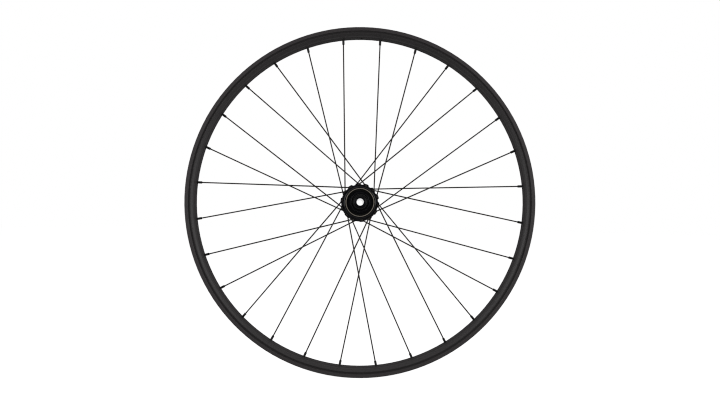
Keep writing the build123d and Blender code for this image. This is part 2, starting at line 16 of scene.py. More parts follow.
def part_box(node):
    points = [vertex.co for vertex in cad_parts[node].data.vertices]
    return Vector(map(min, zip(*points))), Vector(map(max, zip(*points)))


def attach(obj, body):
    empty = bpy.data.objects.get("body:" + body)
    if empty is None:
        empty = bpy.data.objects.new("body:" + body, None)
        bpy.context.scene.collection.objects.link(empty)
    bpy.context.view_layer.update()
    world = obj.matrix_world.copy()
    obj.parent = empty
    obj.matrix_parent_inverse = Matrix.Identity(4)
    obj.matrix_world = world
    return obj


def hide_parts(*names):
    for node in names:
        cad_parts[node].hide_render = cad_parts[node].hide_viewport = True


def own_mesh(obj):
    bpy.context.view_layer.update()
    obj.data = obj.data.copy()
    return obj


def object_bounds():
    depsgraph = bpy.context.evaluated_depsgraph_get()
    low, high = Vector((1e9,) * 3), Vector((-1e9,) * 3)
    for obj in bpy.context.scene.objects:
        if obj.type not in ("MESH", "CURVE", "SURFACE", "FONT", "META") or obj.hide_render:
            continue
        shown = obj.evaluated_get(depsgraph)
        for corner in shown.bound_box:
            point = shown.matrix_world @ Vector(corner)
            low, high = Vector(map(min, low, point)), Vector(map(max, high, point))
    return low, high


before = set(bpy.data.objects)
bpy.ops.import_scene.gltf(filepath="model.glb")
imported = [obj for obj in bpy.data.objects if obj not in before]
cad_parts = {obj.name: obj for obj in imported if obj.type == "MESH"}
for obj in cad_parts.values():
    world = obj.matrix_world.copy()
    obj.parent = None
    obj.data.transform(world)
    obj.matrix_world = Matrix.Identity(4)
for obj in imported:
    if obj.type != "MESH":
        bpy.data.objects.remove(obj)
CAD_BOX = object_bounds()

bl_info = {
    "name": "Rear wheel dressing",
    "version": (1, 0, 0),
    "blender": (4, 5, 0),
    "location": "View3D > Sidebar > Wheel",
    "description": "Fine pieces and finishes for a laced rear wheel, and the studio around it",
    "category": "Object",
}

MM = 0.001
DRIVE = -1
DISC = 1
WHITE = (1, 1, 1, 1)
SHARP_EDGE = radians(38)
MOST_CUT = 0.45
BEARINGS = ("drive_hub_bearing", "disc_hub_bearing", "inner_cassette_bearing", "outer_cassette_bearing")
RATCHETS = ("hub_ratchet", "cassette_ratchet")
TUBES = ("axle", "ratchet_spacer", "cassette_spacer")
SPOKES = sorted(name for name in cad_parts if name.startswith("spoke_") and name[6:].isdigit())


# Settings


def amount(name, description, default, **extra):
    """Setting that holds a number."""
    return FloatProperty(name=name, description=description, default=default, **extra)


def length(name, description, default_mm):
    """Setting that holds a length."""
    return amount(name, description, default_mm * MM, unit="LENGTH", precision=5)


def vector(name, description, default, **extra):
    """Setting that holds two or three numbers."""
    extra["size"] = len(default)
    return FloatVectorProperty(name=name, description=description, default=default, **extra)


def colour(name, description, default):
    """Setting that holds a linear colour."""
    return vector(name, description, default, subtype="COLOR", min=0, max=1)


def share(name, description, default):
    """Setting that holds a number from 0 to 1."""
    return amount(name, description, default, min=0, max=1, subtype="FACTOR")


def angle(name, description, default_degrees):
    """Setting that holds an angle."""
    return amount(name, description, radians(default_degrees), subtype="ANGLE")


def count(name, description, default):
    """Setting that holds a whole number."""
    return IntProperty(name=name, description=description, default=default, min=1)


class SpokeSizes(bpy.types.PropertyGroup):
    """Lacing and wire sizes of the spokes."""

    crossings: count("Crossings", "Spokes that each spoke crosses", 2)
    hole_circle_d: length("Hole circle", "Diameter of a flange's circle of spoke holes", 63)
    flange_thickness: length("Flange", "Thickness of a flange at its spoke holes", 3.2)
    drive_flange_y: length("Drive flange", "Place of the drive side's flange along the axle", -21.5)
    disc_flange_y: length("Disc flange", "Place of the disc side's flange along the axle", 34.5)
    seat_r: length("Nipple seat", "Radius at which the nipples seat in the rim", 302.2)
    wire_d: length("Wire", "Diameter of the wire", 2.34)
    head_d: length("Head", "Diameter of the head", 4.0)
    head_height: length("Head height", "Height of the head over the flange", 1.4)
    elbow_r: length("Elbow", "Bend radius at the elbow", 2.9)
    elbow_out: length("Elbow offset", "Distance of the bend's corner from the flange's face", 3.0)
    past_seat: length("Past the seat", "How far the wire reaches into the nipple's head", 2.35)
    weave_r: length("Weave bend", "Bend radius where two spokes press on each other", 40)
    weave_gap: length("Weave gap", "Room between two spokes at their last crossing", 0.1)


class NippleSizes(bpy.types.PropertyGroup):
    """Sizes of a nipple."""

    height: length("Length", "Length over all", 14)
    shank_d: length("Shank", "Diameter of the round shank", 4.3)
    flats: length("Flats", "Width over the square drive", 3.5)
    flats_length: length("Flats length", "Length of the square drive", 7.0)
    drive_turn: angle("Drive turn", "Turn of the square drive; at 0 a flat faces along the axle", 45)
    head_d: length("Head", "Diameter of the head in the rim", 6.2)
    head_height: length("Head height", "Height of the head", 2.6)
    seat_lift: length("Seat lift", "How far the head's cone starts over the seat", 0.35)
    bore_d: length("Bore", "Diameter of the bore over the spoke's thread", 2.65)
    round_r: length("Rounding", "Radius on the turned edges", 0.2)


class TurnedSizes(bpy.types.PropertyGroup):
    """Sizes of what is turned, milled or wound about the axle."""

    bore_d: length("Through bore", "Bore of the end caps", 12.1)
    axle_d: length("Axle", "Diameter of the axle in the bearings", 15)
    cap_face_d: length("Cap face", "Diameter of a cap's end face", 18)
    cap_barrel_d: length("Cap barrel", "Diameter of a cap's barrel", 22.4)
    cap_cover: length("Cap cover", "How far a cap reaches over the axle", 8)
    cap_nose: length("Cap nose", "Length of the cap's narrow nose", 3.2)
    cap_cone: length("Cap cone", "Length of the cone from the nose to the barrel", 1.6)
    cap_foot: length("Cap foot", "Height of the foot that rests on the bearing", 1.5)
    cap_foot_d: length("Cap foot width", "Diameter of the foot that rests on the bearing", 17.4)
    edge_r: length("Edge", "Radius on the turned edges", 0.3)
    soft_edge_r: length("Soft edge", "Radius on the edges that a hand meets", 1.0)
    spline_count: count("Splines", "Ridges of the cassette body", 9)
    spline_top_d: length("Spline tops", "Diameter over the ridges", 34.6)
    spline_root_d: length("Spline roots", "Diameter of the valleys between the ridges", 32.2)
    spline_angle: angle("Spline width", "Angle that a ridge spans at its root", 20)
    key_angle: angle("Key width", "Angle that the one narrow ridge spans at its root", 13)
    spline_phase: angle("Spline place", "Clock angle of the narrow ridge", 15.6)
    spline_chamfer: length("Spline chamfer", "Chamfer at the outer end of the splines", 0.8)
    spline_length: length("Spline length", "Length from the body's end to the base lip", 34.9)
    lip_thickness: length("Base lip", "Thickness of the base lip", 2.4)
    socket_d: length("Socket", "Bore that guides the sliding ratchet", 31.24)
    socket_groove_d: length("Socket grooves", "Diameter over the grooves for the ratchet's lugs", 33.84)
    socket_wall: length("Socket wall", "Wall outside the grooves", 1.5)
    lug_count: count("Lugs", "Lugs of the sliding ratchet", 10)
    lug_angle: angle("Lug groove", "Angle that a groove for a lug spans", 14.7)
    thread_pitch: length("Thread pitch", "Pitch of the lockring's thread", 1.0)
    thread_depth: length("Thread depth", "Height of the lockring thread's ridge", 0.55)
    thread_bore_d: length("Thread bore", "Bore that holds the lockring's thread", 28.6)
    thread_length: length("Thread length", "Length of the lockring's thread", 8)
    spring_wire_d: length("Spring wire", "Diameter of the ratchet spring's wire", 1.1)
    spring_turns: amount("Spring turns", "Turns of the ratchet's spring", 2.5, min=1)
    slide_travel: length("Slide travel", "How far the sliding ratchet moves against its spring", 1.2)
    mouth_depth: length("Mouth depth", "Depth of the bevel at the body's mouth", 0.4)
    mouth_width: length("Mouth width", "Width of the bevel at the body's mouth", 0.65)
    ring_bright_d: length("Bright ring", "Diameter up to which the drum's ring is bright", 50.2)
    land_y: length("Flange land", "Height of a flange's land over its middle", 3.2)
    bead_r: length("Flange bead", "Radius of the bead on a flange's land", 27.1)
    bead_width: length("Bead width", "Width of the bead", 3.4)
    bead_height: length("Bead height", "Height of the bead", 0.9)
    bead_foot: length("Bead foot", "Depth of the bead's foot under the land", 1.2)


class RimSizes(bpy.types.PropertyGroup):
    """Radii on the rim at which its finish, its painted shade and its painted sheen change."""

    groove_low_r: length("Groove foot", "Inner radius of the groove in the rim's sides", 307.2)
    groove_high_r: length("Groove top", "Outer radius of the groove in the rim's sides", 310.2)
    bed_r: length("Spoke bed", "Radius up to which the spoke bed is matt", 300.5)
    bead_r: length("Bead seat", "Radius of the bead seat, where the flanges start", 311.0)


class Finishes(bpy.types.PropertyGroup):
    """Colours and gloss of the finishes."""

    rim_colour: colour("Rim", "Satin anodising of the rim", (0.0080, 0.0069, 0.0072))
    hub_colour: colour("Hub", "Anodising of the hub shell", (0.0033, 0.0033, 0.0040))
    cap_colour: colour("Caps", "Anodising of the end caps", (0.0013, 0.0013, 0.0018))
    cassette_colour: colour("Cassette body", "Hard anodising of the cassette body", (0.0014, 0.0014, 0.0020))
    spoke_colour: colour("Spokes", "Black oxide on the spokes", (0.0090, 0.0078, 0.0068))
    nipple_colour: colour("Nipples", "Black on the nipples", (0.0035, 0.0035, 0.0036))
    ring_colour: colour("Drum ring", "Warm dark metal of the drum's ring", (0.141, 0.127, 0.107))
    rubber_colour: colour("Rubber", "Black rubber of the seals", (0.0026, 0.0026, 0.0026))
    alloy_colour: colour("Alloy", "Bare aluminium of the axle and the spacers", (0.30, 0.30, 0.30))
    steel_colour: colour("Steel", "Hardened steel of the ratchet", (0.36, 0.35, 0.34))
    # Painted shade: the bearings' colour is darkened to stand for the shadow in their deep recess.
    bearing_painted_shade_colour: colour("Bearings", "Black oxide steel of the bearings", (0.022, 0.022, 0.023))
    spring_colour: colour("Spring", "Drawn spring wire", (0.30, 0.29, 0.29))
    # Painted light: the body bore's lighter tone stands in for light that does not reach into the shadowed
    # bore.
    bore_tone: share("Body bore", "Tone of the dark bare metal in the cassette body's bore", 0.048)


class StudioSettings(bpy.types.PropertyGroup):
    """Camera, lamps and floor."""

    camera_place: vector("Camera", "Place of the camera", (-0.0085, -1.0, -0.0175), unit="LENGTH")
    lens: amount("Lens", "Focal length in millimetres", 27.26, unit="CAMERA")
    roll: angle("Roll", "Camera's turn about its own line of sight, anticlockwise", 0.71)
    picture_shift: vector("Shift", "Picture's shift as a share of its width", (0.0069, 0.0135))
    left_power: amount("Left lamp", "Power of the left lamp", 36.0, unit="POWER")
    right_power: amount("Right lamp", "Power of the right lamp", 38.0, unit="POWER")
    top_power: amount("Top lamp", "Power of the lamp overhead", 16.0, unit="POWER")
    fill: amount("Fill", "Strength of the even light from all round", 0.12, min=0)
    floor_colour: colour("Floor", "Pale floor", (0.55, 0.55, 0.55))
    whiteness: share("Whiteness", "How much of the floor's look is plain white", 0.85)
    floor_glow: amount("Floor glow", "Strength of the floor's plain white", 1.17, min=0)


# Shader expressions


class Shade:
    """One socket of a node tree. Arithmetic on it adds Math nodes, and node() adds any other node."""

    def __init__(self, tree, socket=None):
        self.tree = tree
        self.socket = socket

    def node(self, kind, settings=None, sockets=None, out=0):
        """Adds a node of a type, sets its settings, then sets or links its sockets; returns one output."""
        made = self.tree.nodes.new("ShaderNode" + kind)
        for key, value in (settings or {}).items():
            setattr(made, key, value)
        for key, value in (sockets or {}).items():
            if isinstance(value, Shade):
                self.tree.links.new(value.socket, made.inputs[key])
            else:
                made.inputs[key].default_value = value
        return Shade(self.tree, made.outputs[out]) if made.outputs else None

    def other(self, out):
        """Another output of the node that this socket belongs to."""
        return Shade(self.tree, self.socket.node.outputs[out])

    def math(self, operation, *values):
        """Math node on values or sockets."""
        return self.node("Math", {"operation": operation}, dict(enumerate(values)))

    def __add__(self, other):
        return self.math("ADD", self, other)

    def __radd__(self, other):
        return self.math("ADD", other, self)

    def __rsub__(self, other):
        return self.math("SUBTRACT", other, self)

    def __mul__(self, other):
        return self.math("MULTIPLY", self, other)

    def __pow__(self, power):
        return self.math("POWER", self, power)

    def blend(self, first, second):
        """Colour between two colours, by this value."""
        return self.node("Mix", {"data_type": "RGBA"}, {0: self, 6: first, 7: second}, out=2)


def new_material(name):
    """Empty material, and the place on the object that its pattern starts from."""
    material = bpy.data.materials.new(name)
    material.use_nodes = True
    material.node_tree.nodes.clear()
    return material, Shade(material.node_tree).node("TexCoord", out="Object")


def noise(vector, scale, detail=2.0, roughness=0.5):
    """Cloud noise from 0 to 1 at a scale given in features per metre."""
    sockets = {"Vector": vector, "Scale": scale, "Detail": detail, "Roughness": roughness}
    return vector.node("TexNoise", None, sockets)


def ring_place(place):
    """Distance from the axle, and a vector of it and the place along the axle, on which marks run round."""
    x = place.node("SeparateXYZ", None, {0: place})
    z = x.other("Z")
    radius = (x * x + z * z) ** 0.5
    return radius, place.node("CombineXYZ", None, {"X": radius, "Y": x.other("Y")})


def rgba(value, factor):
    """Colour setting as four numbers, made lighter or darker by a factor."""
    return (*(channel * factor for channel in value), 1.0)


def clouded(clouds, value, low, high):
    """Colour that clouds make darker or lighter, between two factors."""
    return clouds.blend(rgba(value, low), rgba(value, high))


def surface(place, height, depth, **sockets):
    """Principled surface whose bump has a given depth, joined to the material's output."""
    bump = place.node("Bump", None, {"Strength": 1.0, "Distance": depth, "Height": height})
    named = {name.replace("_", " ").title().replace("Ior", "IOR"): value for name, value in sockets.items()}
    skin = place.node("BsdfPrincipled", None, {**named, "Normal": bump})
    place.node("OutputMaterial", None, {"Surface": skin})


# Finishes


def band(value, low, high, soft):
    """1 where a value lies between two limits and 0 outside, with soft edges of the given width."""
    sockets = {"Value": value, "From Min": low - soft, "From Max": low, "To Min": 0.0, "To Max": 1.0}
    rise = value.node("MapRange", {"interpolation_type": "SMOOTHSTEP"}, sockets)
    sockets = {"Value": value, "From Min": high, "From Max": high + soft, "To Min": 1.0, "To Max": 0.0}
    return rise * value.node("MapRange", {"interpolation_type": "SMOOTHSTEP"}, sockets)


def rim_anodising(finishes, sizes):
    """Satin black anodising over rolled extrusion: fine lines round the rim, a blasted grain, faint clouds.

    The grooves in the sides are matt, and their colour is darker as painted shade, where shadow falls in them;
    the spoke bed is matt.
    The bead flanges' colour is lighter, a painted sheen where light catches them.
    """
    material, place = new_material("rim_anodised")
    clouds = noise(place, scale=30)
    from_axle, rings = ring_place(place)
    lines = noise(rings, scale=2200, detail=3)
    grain = noise(place, scale=5200, detail=1)
    # Painted shade: the groove's colour is darker where shadow falls in it, and the groove is matt as well.
    groove = band(from_axle, sizes.groove_low_r, sizes.groove_high_r, soft=0.4 * MM)
    bed = band(from_axle, 0.0, sizes.bed_r, soft=1.2 * MM)
    # Painted sheen: the bead flanges' colour is lighter where light catches them.
    flange = band(from_axle, sizes.bead_r, 1.0, soft=0.4 * MM)
    satin = clouded(clouds, finishes.rim_colour, low=0.88, high=1.12)
    painted_sheen_colour = flange.blend(satin, rgba(finishes.rim_colour, factor=1.75))
    surface(
        place,
        lines * 0.6 + grain * 0.4,
        depth=0.006 * MM,
        base_color=groove.blend(painted_sheen_colour, rgba(finishes.rim_colour, factor=0.8)),
        roughness=0.42 + clouds * 0.05 + lines * 0.08 + groove * 0.4 + bed * 0.45,
        specular_ior_level=0.17,
    )
    return material


def turned_black(name, value, gloss, lines_depth, bore_r=0.0, bore_tone=0.36, shine=0.035):
    """Black anodising on a turned piece: tool marks round the axle under a thin, even dye.

    Inside the bore's radius the metal is bare, of the bore's tone; in the cassette body's shadowed bore that
    lighter tone is painted light.
    """
    material, place = new_material(name)
    from_axle, rings = ring_place(place)
    marks = noise(rings, scale=3000)
    clouds = noise(place, scale=120)
    bare = band(from_axle, -1.0, bore_r, soft=0.05 * MM)
    dyed = clouded(clouds, value, low=0.85, high=1.15)
    surface(
        place,
        marks,
        lines_depth,
        base_color=bare.blend(dyed, (bore_tone, bore_tone, bore_tone, 1.0)),
        metallic=bare,
        roughness=(gloss + marks * 0.08 + clouds * 0.04) * (1.0 - bare * 0.8),
        specular_ior_level=shine,
    )
    return material


def wire_black(finishes):
    """Black oxide on drawn wire: hair lines along the wire, which its own map follows, and a faint mottle."""
    material, place = new_material("spoke_black")
    along = place.node("UVMap", {"uv_map": "along_wire"})
    hairs = (48, 60, 1)
    stretched = along.node("VectorMath", {"operation": "MULTIPLY"}, {0: along, 1: hairs})
    drawn = noise(stretched, scale=1.0, detail=3)
    mottle = noise(place, scale=900)
    surface(
        place,
        drawn,
        depth=0.004 * MM,
        base_color=clouded(mottle, finishes.spoke_colour, low=0.8, high=1.2),
        roughness=0.34 + drawn * 0.1,
        specular_ior_level=0.08,
    )
    return material


def nipple_black(finishes):
    """Black anodising on small turned nipples: a fine even grain with soft clouds."""
    material, place = new_material("nipple_black")
    grain = noise(place, scale=4200)
    clouds = noise(place, scale=260)
    surface(
        place,
        grain,
        depth=0.005 * MM,
        base_color=clouded(clouds, finishes.nipple_colour, low=0.8, high=1.2),
        roughness=0.32 + grain * 0.12,
        specular_ior_level=0.08,
    )
    return material


def turned_metal(name, value, gloss, marks_scale, marks_depth, bright_r=1.0):
    """Bare metal with tool marks round the axle and a little tarnish in clouds; dark outside a radius."""
    material, place = new_material(name)
    from_axle, rings = ring_place(place)
    marks = noise(rings, marks_scale, detail=3)
    tarnish = noise(place, scale=150)
    bright = band(from_axle, -1.0, bright_r, soft=0.2 * MM)
    bare = clouded(tarnish, value, low=0.85, high=1.12)
    surface(
        place,
        marks,
        marks_depth,
        base_color=bright.blend(rgba(value, factor=0.2), bare),
        metallic=1.0,
        roughness=gloss + marks * 0.12,
    )
    return material


def seal_rubber(finishes):
    """Moulded black rubber: matt, with a fine grain and a dusty bloom in clouds."""
    material, place = new_material("seal_rubber")
    grain = noise(place, scale=3800)
    bloom = noise(place, scale=240)
    surface(
        place,
        grain,
        depth=0.01 * MM,
        base_color=clouded(bloom, finishes.rubber_colour, low=0.8, high=1.5),
        roughness=0.55 + bloom * 0.15,
        specular_ior_level=0.03,
    )
    return material


def dress(material, *nodes):
    """Gives CAD nodes a finish in place of their plain one."""
    for name in nodes:
        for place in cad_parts[name].material_slots:
            place.material = material


# Surfaces


def ring_faces(rows, columns, closed):
    """Four-cornered faces on a grid whose columns close round, and whose rows close too if asked."""
    index = np.arange(rows * columns).reshape(rows, columns)
    near = index if closed else index[:-1]
    far = np.roll(index, -1, axis=0) if closed else index[1:]
    corners = [near, np.roll(near, -1, axis=1), np.roll(far, -1, axis=1), far]
    return np.stack(corners, axis=-1).reshape(-1, 4)


def tube_faces(points, rows, columns):
    """Faces of an open tube's grid turned outward, and the two end faces that close it."""
    faces = outward(points, ring_faces(rows, columns, False))
    last = (rows - 1) * columns
    ends = [range(columns), range(last + columns - 1, last - 1, -1)]
    flipped = faces[0, 0] != 0
    return faces, ends if flipped else [end[::-1] for end in ends]


def outward(points, faces):
    """The faces turned so that their volume, the sum of a corner times the diagonals' product, is positive."""
    a, b, c, d = np.moveaxis(points[faces], 1, 0)
    volume = np.sum(a * np.cross(c - a, d - b))
    return faces if volume > 0 else faces[:, ::-1]


def make_piece(name, points, faces, material, body, nodes=(), caps=()):
    """Object with smooth faces from arrays, riding on a body and standing for the given nodes."""
    mesh = bpy.data.meshes.new(name)
    mesh.from_pydata(points.tolist(), [], faces.tolist() + [list(cap) for cap in caps])
    mesh.polygons.foreach_set("use_smooth", np.ones(len(mesh.polygons), dtype=bool))
    mesh.set_sharp_from_angle(angle=SHARP_EDGE)
    mesh.materials.append(material)
    made = bpy.data.objects.new(name, mesh)
    bpy.context.scene.collection.objects.link(made)
    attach(made, body)
    if nodes:
        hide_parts(*nodes)
    return made


def unit(vectors):
    """Vectors made one long."""
    return vectors / np.linalg.norm(vectors, axis=-1, keepdims=True)


def rounded(corners, radius, steps=4):
    """Closed outline in which a circular arc, tangent to both sides, takes the place of each corner.

    The radius is one number, or one for each corner, and an arc takes at most a given share of a side.
    """
    corners = np.asarray(corners, dtype=float)
    sides = np.roll(corners, -1, axis=0) - corners
    lengths = np.linalg.norm(sides, axis=1)
    after = unit(sides)
    before = -np.roll(after, 1, axis=0)
    half = np.arccos(np.clip(np.sum(before * after, axis=1), -1, 1)) / 2
    cut = np.minimum(radius / np.tan(half), MOST_CUT * np.minimum(lengths, np.roll(lengths, 1)))
    middle = unit(before + after)
    across = unit(after - before)
    centre = corners + middle * (cut / np.cos(half))[:, None]
    arc_r = (cut * np.tan(half))[:, None, None]
    sweep = (np.linspace(-1, 1, steps)[None, :] * (pi / 2 - half)[:, None])[:, :, None]
    arc = np.sin(sweep) * across[:, None, :] - np.cos(sweep) * middle[:, None, :]
    return (centre[:, None, :] + arc_r * arc).reshape(-1, 2)


def clock_points(radius, along, turn):
    """Points at (r sin a, y, r cos a), for radii, places along the axle and clock angles."""
    along = np.broadcast_to(along, np.broadcast_shapes(np.shape(radius), np.shape(turn)))
    return np.stack([radius * np.sin(turn), along, radius * np.cos(turn)], axis=-1)


def full_turn(steps):
    """Angles at even steps round a full turn."""
    return np.arange(steps) * 2 * pi / steps


def lathe(outline, segments):
    """Closed outline of (radius, y) turned about the axle: its points round the axle, and their faces."""
    points = clock_points(outline[:, :1], outline[:, 1:], full_turn(segments)).reshape(-1, 3)
    return points, outward(points, ring_faces(len(outline), segments, True))


def at_clock(points, turn):
    """Points turned about the axle by a clock angle: a right-handed turn about +Y."""
    spin = np.array([[cos(turn), 0, -sin(turn)], [0, 1, 0], [sin(turn), 0, cos(turn)]])
    return points @ spin


# Lacing


def spoke_kind(index):
    """Side and lead of the spoke at a place counted clockwise from the valve hole."""
    return (DISC if index % 2 == 0 else DRIVE), (1 if index % 4 < 2 else -1)


def spoke_clock(index):
    """Clock angle of a spoke's nipple: the valve hole lies midway between the first and the last."""
    return (index + 0.5) * 2 * pi / len(SPOKES)


def spoke_corners(sizes, side, lead):
    """Head, elbow, weave and seat points of a spoke whose nipple is at the top.

    With lead +1 the head is on the flange's outer face, with lead -1 on its inner face. At the last crossing,
    where the two lines meet in the plane of the wheel, each spoke steps aside by half of what both need.
    """
    pitch = 2 * pi / len(SPOKES)
    hub_turn = sizes.crossings * 2 * pitch
    hole_r = sizes.hole_circle_d / 2
    plane_y = sizes.drive_flange_y if side == DRIVE else sizes.disc_flange_y
    face = lead * side * sizes.flange_thickness / 2
    head = clock_points(hole_r, plane_y + face, lead * hub_turn)
    elbow = clock_points(hole_r, plane_y - face - lead * side * sizes.elbow_out, lead * hub_turn)
    seat = np.array([0, 0, sizes.seat_r])
    reach = sizes.seat_r * sin(pitch) + hole_r * sin(hub_turn - pitch)
    weave = clock_points(sizes.seat_r * hole_r * sin(hub_turn) / reach, 0, lead * pitch)
    flat = np.array([1, 0, 1])
    done = np.linalg.norm((weave - elbow) * flat) / np.linalg.norm((seat - elbow) * flat)
    weave[1] = plane_y * (1 - done) + lead * side * (sizes.wire_d + sizes.weave_gap) / 2
    return head, elbow, weave, seat


class BentLine:
    """Middle line of a wire: straight runs between corners, joined by arcs tangent to both.

    A span holds its start, its way there, an arc's way to its centre and radius, and its length.
    """

    def __init__(self, corners, radii):
        ways = [unit(b - a) for a, b in zip(corners[:-1], corners[1:])]
        self.spans = []
        start = corners[0]
        for corner, before, after, radius in zip(corners[1:-1], ways[:-1], ways[1:], radii):
            turn = np.arccos(np.clip(before @ after, -1, 1))
            arc_start = corner - before * radius * tan(turn / 2)
            across = unit(after - before * cos(turn))
            self.spans.append((start, before, None, 0, np.linalg.norm(arc_start - start)))
            self.spans.append((arc_start, before, across, radius, radius * turn))
            start = corner + after * radius * tan(turn / 2)
        self.spans.append((start, ways[-1], None, 0, np.linalg.norm(corners[-1] - start)))
        self.starts = np.concatenate([[0], np.cumsum([span[4] for span in self.spans])])
        self.length = self.starts[-1]

    def at(self, along):
        """Points and ways at distances along the line: p + s t on a run, a circle's formula on an arc."""
        points = np.zeros((len(along), 3))
        ways = np.zeros((len(along), 3))
        which = np.clip(np.searchsorted(self.starts, along, side="right") - 1, 0, len(self.spans) - 1)
        for number, (start, way, across, radius, _) in enumerate(self.spans):
            here = which == number
            step = (along[here] - self.starts[number])[:, None]
            if across is None:
                points[here] = start + step * way
                ways[here] = way
            else:
                turn = step / radius
                points[here] = start + radius * (np.sin(turn) * way + (1 - np.cos(turn)) * across)
                ways[here] = np.cos(turn) * way + np.sin(turn) * across
        return points, ways


def ease(low, high, value):
    """Smooth step: 0 below low, 1 above high, and 3 t t - 2 t t t between."""
    part = np.clip((value - low) / (high - low), 0, 1)
    return part * part * (3 - 2 * part)


def spoke_surface(sizes, side, lead, columns, dome_rows=7, bend_rows=11, weave_rows=5):
    """Spoke as a round section carried along its bent middle line.

    At an angle b the dome lies 1 - cos b of its height down, and its radius goes with a power of sin b.
    The rest has the wire's radius and a chamfered tip. Returns the points and each row's distance along.
    """
    head, elbow, weave, seat = spoke_corners(sizes, side, lead)
    top = head + unit(head - elbow) * sizes.head_height
    tip = seat + unit(seat - weave) * sizes.past_seat
    line = BentLine([top, elbow, weave, tip], [sizes.elbow_r, sizes.weave_r])
    wire = sizes.wire_d / 2
    head_r = sizes.head_d / 2
    first_row = 0.08
    dome_height = 0.62 * sizes.head_height
    fullness = 0.8
    edge = 0.97
    chamfer = 0.25 * MM
    lift = np.linspace(first_row, 1, dome_rows) * pi / 2
    dome_s = dome_height * (1 - np.cos(lift))
    dome_r = head_r * np.sin(lift) ** fullness
    under_s = np.array([edge, 1, 1]) * sizes.head_height
    under_r = np.array([head_r, head_r * edge, wire])
    bend = np.linspace(*line.starts[1:3], bend_rows)
    dive = np.linspace(*line.starts[3:5], weave_rows)
    run_s = np.concatenate([bend, dive, [line.length - chamfer]])
    run_r = np.full(len(run_s), wire)
    along = np.concatenate([dome_s, under_s, run_s, [line.length]])
    radius = np.concatenate([dome_r, under_r, run_r, [wire - chamfer]])
    middle, way = line.at(along)
    plane = unit(np.cross(head - elbow, weave - elbow))
    side_way = unit(plane - way * (way @ plane)[:, None])
    up_way = np.cross(way, side_way)
    turn = full_turn(columns)[None, :, None]
    ring = np.cos(turn) * side_way[:, None, :] + np.sin(turn) * up_way[:, None, :]
    points = middle[:, None, :] + radius[:, None, None] * ring
    return points.reshape(-1, 3), along


def map_along_wire(mesh, along, columns):
    """Gives each face corner its share of the way round the wire, and its distance along it in metres."""
    column = np.arange(columns)
    rounds = np.stack([column, column + 1, column + 1, column], axis=-1) / columns
    ways = np.stack([along[:-1], along[:-1], along[1:], along[1:]], axis=-1)[:, None, :]
    sides = np.stack(np.broadcast_arrays(rounds, ways), axis=-1).reshape(-1, 2)
    loops = np.zeros((len(mesh.loops), 2))
    loops[: len(sides)] = sides
    mesh.uv_layers.new(name="along_wire").uv.foreach_set("vector", loops.astype(np.float32).ravel())


def nipple_surface(nipples, flat_columns=5, curve_columns=4):
    """Nipple about its own z axis, the seat at z 0: a rounded section turned round, its foot cut square.

    On the foot the radius at an angle a is the smaller of the shank's and half the flats over the larger of
    |cos a| and |sin a|; above the shoulder it is the shank's.
    """
    shank = nipples.shank_d / 2
    head = nipples.head_d / 2
    bore = nipples.bore_d / 2
    lift = nipples.seat_lift
    foot = lift + nipples.head_height - nipples.height
    shoulder = foot + nipples.flats_length
    slope = 0.25 * MM
    hair = 0.02 * MM
    bore_edge = bore + 0.3 * MM
    crown = lift + nipples.head_height * 0.7
    top_r = head * 2 / 3
    section = [
        (bore, foot),
        (shank, foot),
        (shank, lift),
        (head, lift + head - shank),
        (head, crown),
        (top_r, lift + nipples.head_height),
        (bore, lift + nipples.head_height),
    ]
    corner = np.arccos(nipples.flats / nipples.shank_d)
    flat = np.linspace(-corner, corner, flat_columns)
    curve = np.linspace(corner, pi / 2 - corner, curve_columns)[1:-1]
    quarter = np.concatenate([flat, curve])
    turn = np.concatenate([quarter + side * pi / 2 for side in range(4)])
    outline = rounded(section, nipples.round_r)
    step = np.array([[shank, shoulder - hair], [shank, shoulder + slope]])
    after = np.searchsorted(outline[: len(outline) // 2, 1], shoulder)
    outline = np.concatenate([outline[:after], step, outline[after:]])
    square = nipples.flats / 2 / np.maximum(np.abs(np.cos(turn)), np.abs(np.sin(turn)))
    on_foot = (outline[:, 1] < shoulder) & (outline[:, 0] > bore_edge)
    limit = np.where(on_foot[:, None], square[None, :] + (outline[:, 0] - shank)[:, None], head)
    radius = np.minimum(outline[:, 0][:, None], limit)
    height = np.broadcast_to(outline[:, 1][:, None], radius.shape)
    round_z = turn + nipples.drive_turn
    points = np.stack([radius * np.cos(round_z), radius * np.sin(round_z), height], axis=-1)
    return points.reshape(-1, 3), ring_faces(len(outline), len(turn), True)


def ridge_pattern(turn, middles, half_widths, radius, soft):
    """1 on each ridge and 0 between, by angle: a smooth step of the distance in from the nearer edge."""
    apart = turn[:, None] - middles[None, :]
    into = half_widths[None, :] - radius * np.abs(np.sin(apart))
    inside = np.where(np.cos(apart) > 0, into, -radius)
    return ease(-soft / 2, soft / 2, inside.max(axis=1))


